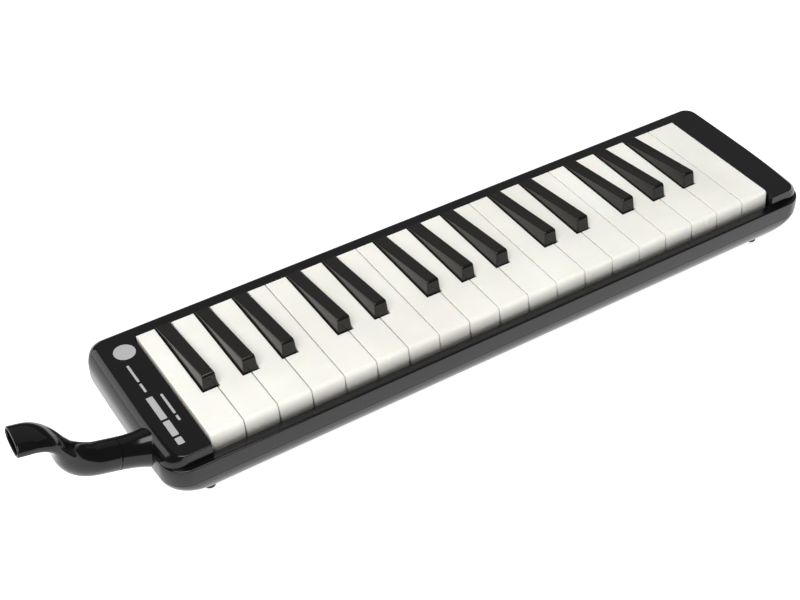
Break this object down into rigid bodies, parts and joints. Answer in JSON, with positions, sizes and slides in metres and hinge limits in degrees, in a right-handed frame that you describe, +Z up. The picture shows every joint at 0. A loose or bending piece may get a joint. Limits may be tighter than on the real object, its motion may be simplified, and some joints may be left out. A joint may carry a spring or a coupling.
{
  "type": "melodica",
  "caption": "Keyed free-reed wind instrument: piano keys in a rounded black case, with a turnable blow-in mouthpiece at the bass end.",
  "frame": {"origin": "on the resting plane under the feet, in the middle of the bounding box", "axes": "+X along the keyboard to the treble end, +Y from the key fronts to the back, +Z up"},
  "size_m": [0.4832, 0.1068, 0.0746],
  "materials": {
    "ivory_plastic": "glossy ivory plastic",
    "key_black": "glossy black plastic",
    "case_black": "glossy black ABS",
    "mouthpiece_black": "glossy black plastic",
    "chest_plastic": "moulded dark grey plastic",
    "reed_plate": "milled plate",
    "reed_brass": "rolled bronze tongues",
    "screw_steel": "zinc plated",
    "rod_steel": "ground rod",
    "spring_steel": "spring strip",
    "gasket_rubber": "soft gasket sheet",
    "seal_rubber": "moulded ring",
    "foot_rubber": "moulded foot",
    "felt": "pressed felt",
    "strap_web": "woven strap",
    "clip_plastic": "moulded clamp plate"
  },
  "bodies": {
    "case": {"upper_case": "case_black", "lower_case": "case_black", "wind_chest": "chest_plastic", "reed_plate_low": "reed_plate", "reed_plate_high": "reed_plate", "reeds_low": "reed_brass", "reeds_high": "reed_brass", "reed_plate_screws": "screw_steel", "chamber_gasket": "gasket_rubber", "chamber_cover": "chest_plastic", "chamber_screws": "screw_steel", "pivot_rail": "chest_plastic", "pivot_rod": "rod_steel", "key_springs": "spring_steel", "white_key_guides": "chest_plastic", "black_key_guides": "chest_plastic", "down_stop_felt": "felt", "mouth_socket": "case_black", "drain_spring": "spring_steel", "hand_strap": "strap_web", "strap_clips": "clip_plastic", "strap_screws": "screw_steel", "rubber_feet": "foot_rubber", "case_screws": "screw_steel"},
    "white_key_1_body": {"white_key_1": "ivory_plastic"},
    "white_key_2_body": {"white_key_2": "ivory_plastic"},
    "white_key_3_body": {"white_key_3": "ivory_plastic"},
    "white_key_4_body": {"white_key_4": "ivory_plastic"},
    "white_key_5_body": {"white_key_5": "ivory_plastic"},
    "white_key_6_body": {"white_key_6": "ivory_plastic"},
    "white_key_7_body": {"white_key_7": "ivory_plastic"},
    "white_key_8_body": {"white_key_8": "ivory_plastic"},
    "white_key_9_body": {"white_key_9": "ivory_plastic"},
    "white_key_10_body": {"white_key_10": "ivory_plastic"},
    "white_key_11_body": {"white_key_11": "ivory_plastic"},
    "white_key_12_body": {"white_key_12": "ivory_plastic"},
    "white_key_13_body": {"white_key_13": "ivory_plastic"},
    "white_key_14_body": {"white_key_14": "ivory_plastic"},
    "white_key_15_body": {"white_key_15": "ivory_plastic"},
    "white_key_16_body": {"white_key_16": "ivory_plastic"},
    "white_key_17_body": {"white_key_17": "ivory_plastic"},
    "white_key_18_body": {"white_key_18": "ivory_plastic"},
    "white_key_19_body": {"white_key_19": "ivory_plastic"},
    "black_key_1_body": {"black_key_1": "key_black"},
    "black_key_2_body": {"black_key_2": "key_black"},
    "black_key_3_body": {"black_key_3": "key_black"},
    "black_key_4_body": {"black_key_4": "key_black"},
    "black_key_5_body": {"black_key_5": "key_black"},
    "black_key_6_body": {"black_key_6": "key_black"},
    "black_key_7_body": {"black_key_7": "key_black"},
    "black_key_8_body": {"black_key_8": "key_black"},
    "black_key_9_body": {"black_key_9": "key_black"},
    "black_key_10_body": {"black_key_10": "key_black"},
    "black_key_11_body": {"black_key_11": "key_black"},
    "black_key_12_body": {"black_key_12": "key_black"},
    "black_key_13_body": {"black_key_13": "key_black"},
    "mouth_seal_body": {"mouth_seal": "seal_rubber"},
    "mouthpiece_body": {"mouthpiece": "mouthpiece_black"},
    "water_release": {"drain_button": "key_black", "drain_seal": "seal_rubber"}
  },
  "joints": [
    {"name": "white_key_1_hinge", "type": "hinge", "parent": "case", "child": "white_key_1_body", "pos_m": [-0.14669, 0.0425, 0.036], "axis": [1, 0, 0], "range_deg": [0, 2.62], "stiffness_Nm_per_rad": 0.3, "springref_deg": -6.88, "deforming": ["key_springs"]},
    {"name": "white_key_2_hinge", "type": "hinge", "parent": "case", "child": "white_key_2_body", "pos_m": [-0.12506, 0.0425, 0.036], "axis": [1, 0, 0], "range_deg": [0, 2.62], "stiffness_Nm_per_rad": 0.3, "springref_deg": -6.88, "deforming": ["key_springs"]},
    {"name": "white_key_3_hinge", "type": "hinge", "parent": "case", "child": "white_key_3_body", "pos_m": [-0.10221, 0.0425, 0.036], "axis": [1, 0, 0], "range_deg": [0, 2.62], "stiffness_Nm_per_rad": 0.3, "springref_deg": -6.88, "deforming": ["key_springs"]},
    {"name": "white_key_4_hinge", "type": "hinge", "parent": "case", "child": "white_key_4_body", "pos_m": [-0.08059, 0.0425, 0.036], "axis": [1, 0, 0], "range_deg": [0, 2.62], "stiffness_Nm_per_rad": 0.3, "springref_deg": -6.88, "deforming": ["key_springs"]},
    {"name": "white_key_5_hinge", "type": "hinge", "parent": "case", "child": "white_key_5_body", "pos_m": [-0.06859, 0.0425, 0.036], "axis": [1, 0, 0], "range_deg": [0, 2.62], "stiffness_Nm_per_rad": 0.3, "springref_deg": -6.88, "deforming": ["key_springs"]},
    {"name": "white_key_6_hinge", "type": "hinge", "parent": "case", "child": "white_key_6_body", "pos_m": [-0.04609, 0.0425, 0.036], "axis": [1, 0, 0], "range_deg": [0, 2.62], "stiffness_Nm_per_rad": 0.3, "springref_deg": -6.88, "deforming": ["key_springs"]},
    {"name": "white_key_7_hinge", "type": "hinge", "parent": "case", "child": "white_key_7_body", "pos_m": [-0.02359, 0.0425, 0.036], "axis": [1, 0, 0], "range_deg": [0, 2.62], "stiffness_Nm_per_rad": 0.3, "springref_deg": -6.88, "deforming": ["key_springs"]},
    {"name": "white_key_8_hinge", "type": "hinge", "parent": "case", "child": "white_key_8_body", "pos_m": [-0.01159, 0.0425, 0.036], "axis": [1, 0, 0], "range_deg": [0, 2.62], "stiffness_Nm_per_rad": 0.3, "springref_deg": -6.88, "deforming": ["key_springs"]},
    {"name": "white_key_9_hinge", "type": "hinge", "parent": "case", "child": "white_key_9_body", "pos_m": [0.01004, 0.0425, 0.036], "axis": [1, 0, 0], "range_deg": [0, 2.62], "stiffness_Nm_per_rad": 0.3, "springref_deg": -6.88, "deforming": ["key_springs"]},
    {"name": "white_key_10_hinge", "type": "hinge", "parent": "case", "child": "white_key_10_body", "pos_m": [0.03289, 0.0425, 0.036], "axis": [1, 0, 0], "range_deg": [0, 2.62], "stiffness_Nm_per_rad": 0.3, "springref_deg": -6.88, "deforming": ["key_springs"]},
    {"name": "white_key_11_hinge", "type": "hinge", "parent": "case", "child": "white_key_11_body", "pos_m": [0.05451, 0.0425, 0.036], "axis": [1, 0, 0], "range_deg": [0, 2.62], "stiffness_Nm_per_rad": 0.3, "springref_deg": -6.88, "deforming": ["key_springs"]},
    {"name": "white_key_12_hinge", "type": "hinge", "parent": "case", "child": "white_key_12_body", "pos_m": [0.06651, 0.0425, 0.036], "axis": [1, 0, 0], "range_deg": [0, 2.62], "stiffness_Nm_per_rad": 0.3, "springref_deg": -6.88, "deforming": ["key_springs"]},
    {"name": "white_key_13_hinge", "type": "hinge", "parent": "case", "child": "white_key_13_body", "pos_m": [0.08901, 0.0425, 0.036], "axis": [1, 0, 0], "range_deg": [0, 2.62], "stiffness_Nm_per_rad": 0.3, "springref_deg": -6.88, "deforming": ["key_springs"]},
    {"name": "white_key_14_hinge", "type": "hinge", "parent": "case", "child": "white_key_14_body", "pos_m": [0.11151, 0.0425, 0.036], "axis": [1, 0, 0], "range_deg": [0, 2.62], "stiffness_Nm_per_rad": 0.3, "springref_deg": -6.88, "deforming": ["key_springs"]},
    {"name": "white_key_15_hinge", "type": "hinge", "parent": "case", "child": "white_key_15_body", "pos_m": [0.12351, 0.0425, 0.036], "axis": [1, 0, 0], "range_deg": [0, 2.62], "stiffness_Nm_per_rad": 0.3, "springref_deg": -6.88, "deforming": ["key_springs"]},
    {"name": "white_key_16_hinge", "type": "hinge", "parent": "case", "child": "white_key_16_body", "pos_m": [0.14514, 0.0425, 0.036], "axis": [1, 0, 0], "range_deg": [0, 2.62], "stiffness_Nm_per_rad": 0.3, "springref_deg": -6.88, "deforming": ["key_springs"]},
    {"name": "white_key_17_hinge", "type": "hinge", "parent": "case", "child": "white_key_17_body", "pos_m": [0.16799, 0.0425, 0.036], "axis": [1, 0, 0], "range_deg": [0, 2.62], "stiffness_Nm_per_rad": 0.3, "springref_deg": -6.88, "deforming": ["key_springs"]},
    {"name": "white_key_18_hinge", "type": "hinge", "parent": "case", "child": "white_key_18_body", "pos_m": [0.18961, 0.0425, 0.036], "axis": [1, 0, 0], "range_deg": [0, 2.62], "stiffness_Nm_per_rad": 0.3, "springref_deg": -6.88, "deforming": ["key_springs"]},
    {"name": "white_key_19_hinge", "type": "hinge", "parent": "case", "child": "white_key_19_body", "pos_m": [0.20481, 0.0425, 0.036], "axis": [1, 0, 0], "range_deg": [0, 2.62], "stiffness_Nm_per_rad": 0.3, "springref_deg": -6.88, "deforming": ["key_springs"]},
    {"name": "black_key_1_hinge", "type": "hinge", "parent": "case", "child": "black_key_1_body", "pos_m": [-0.13649, 0.0425, 0.036], "axis": [1, 0, 0], "range_deg": [0, 2.62], "stiffness_Nm_per_rad": 0.3, "springref_deg": -6.88, "deforming": ["key_springs"]},
    {"name": "black_key_2_hinge", "type": "hinge", "parent": "case", "child": "black_key_2_body", "pos_m": [-0.11364, 0.0425, 0.036], "axis": [1, 0, 0], "range_deg": [0, 2.62], "stiffness_Nm_per_rad": 0.3, "springref_deg": -6.88, "deforming": ["key_springs"]},
    {"name": "black_key_3_hinge", "type": "hinge", "parent": "case", "child": "black_key_3_body", "pos_m": [-0.09079, 0.0425, 0.036], "axis": [1, 0, 0], "range_deg": [0, 2.62], "stiffness_Nm_per_rad": 0.3, "springref_deg": -6.88, "deforming": ["key_springs"]},
    {"name": "black_key_4_hinge", "type": "hinge", "parent": "case", "child": "black_key_4_body", "pos_m": [-0.05749, 0.0425, 0.036], "axis": [1, 0, 0], "range_deg": [0, 2.62], "stiffness_Nm_per_rad": 0.3, "springref_deg": -6.88, "deforming": ["key_springs"]},
    {"name": "black_key_5_hinge", "type": "hinge", "parent": "case", "child": "black_key_5_body", "pos_m": [-0.03469, 0.0425, 0.036], "axis": [1, 0, 0], "range_deg": [0, 2.62], "stiffness_Nm_per_rad": 0.3, "springref_deg": -6.88, "deforming": ["key_springs"]},
    {"name": "black_key_6_hinge", "type": "hinge", "parent": "case", "child": "black_key_6_body", "pos_m": [-0.00139, 0.0425, 0.036], "axis": [1, 0, 0], "range_deg": [0, 2.62], "stiffness_Nm_per_rad": 0.3, "springref_deg": -6.88, "deforming": ["key_springs"]},
    {"name": "black_key_7_hinge", "type": "hinge", "parent": "case", "child": "black_key_7_body", "pos_m": [0.02146, 0.0425, 0.036], "axis": [1, 0, 0], "range_deg": [0, 2.62], "stiffness_Nm_per_rad": 0.3, "springref_deg": -6.88, "deforming": ["key_springs"]},
    {"name": "black_key_8_hinge", "type": "hinge", "parent": "case", "child": "black_key_8_body", "pos_m": [0.04431, 0.0425, 0.036], "axis": [1, 0, 0], "range_deg": [0, 2.62], "stiffness_Nm_per_rad": 0.3, "springref_deg": -6.88, "deforming": ["key_springs"]},
    {"name": "black_key_9_hinge", "type": "hinge", "parent": "case", "child": "black_key_9_body", "pos_m": [0.07761, 0.0425, 0.036], "axis": [1, 0, 0], "range_deg": [0, 2.62], "stiffness_Nm_per_rad": 0.3, "springref_deg": -6.88, "deforming": ["key_springs"]},
    {"name": "black_key_10_hinge", "type": "hinge", "parent": "case", "child": "black_key_10_body", "pos_m": [0.10041, 0.0425, 0.036], "axis": [1, 0, 0], "range_deg": [0, 2.62], "stiffness_Nm_per_rad": 0.3, "springref_deg": -6.88, "deforming": ["key_springs"]},
    {"name": "black_key_11_hinge", "type": "hinge", "parent": "case", "child": "black_key_11_body", "pos_m": [0.13371, 0.0425, 0.036], "axis": [1, 0, 0], "range_deg": [0, 2.62], "stiffness_Nm_per_rad": 0.3, "springref_deg": -6.88, "deforming": ["key_springs"]},
    {"name": "black_key_12_hinge", "type": "hinge", "parent": "case", "child": "black_key_12_body", "pos_m": [0.15656, 0.0425, 0.036], "axis": [1, 0, 0], "range_deg": [0, 2.62], "stiffness_Nm_per_rad": 0.3, "springref_deg": -6.88, "deforming": ["key_springs"]},
    {"name": "black_key_13_hinge", "type": "hinge", "parent": "case", "child": "black_key_13_body", "pos_m": [0.17941, 0.0425, 0.036], "axis": [1, 0, 0], "range_deg": [0, 2.62], "stiffness_Nm_per_rad": 0.3, "springref_deg": -6.88, "deforming": ["key_springs"]},
    {"name": "mouthpiece_pull", "type": "slide", "parent": "case", "child": "mouth_seal_body", "axis": [-0.9613, 0, 0.2756], "range_m": [0, 0.015]},
    {"name": "mouthpiece_turn", "type": "hinge", "parent": "mouth_seal_body", "child": "mouthpiece_body", "pos_m": [-0.19318, -0.0231, 0.0353], "axis": [-0.9613, 0, 0.2756], "continuous": true},
    {"name": "water_release_push", "type": "slide", "parent": "case", "child": "water_release", "axis": [-1, 0, 0], "range_m": [0, 0.0025], "stiffness_N_per_m": 300, "springref_m": -0.003, "deforming": ["drain_spring"]}
  ]
}
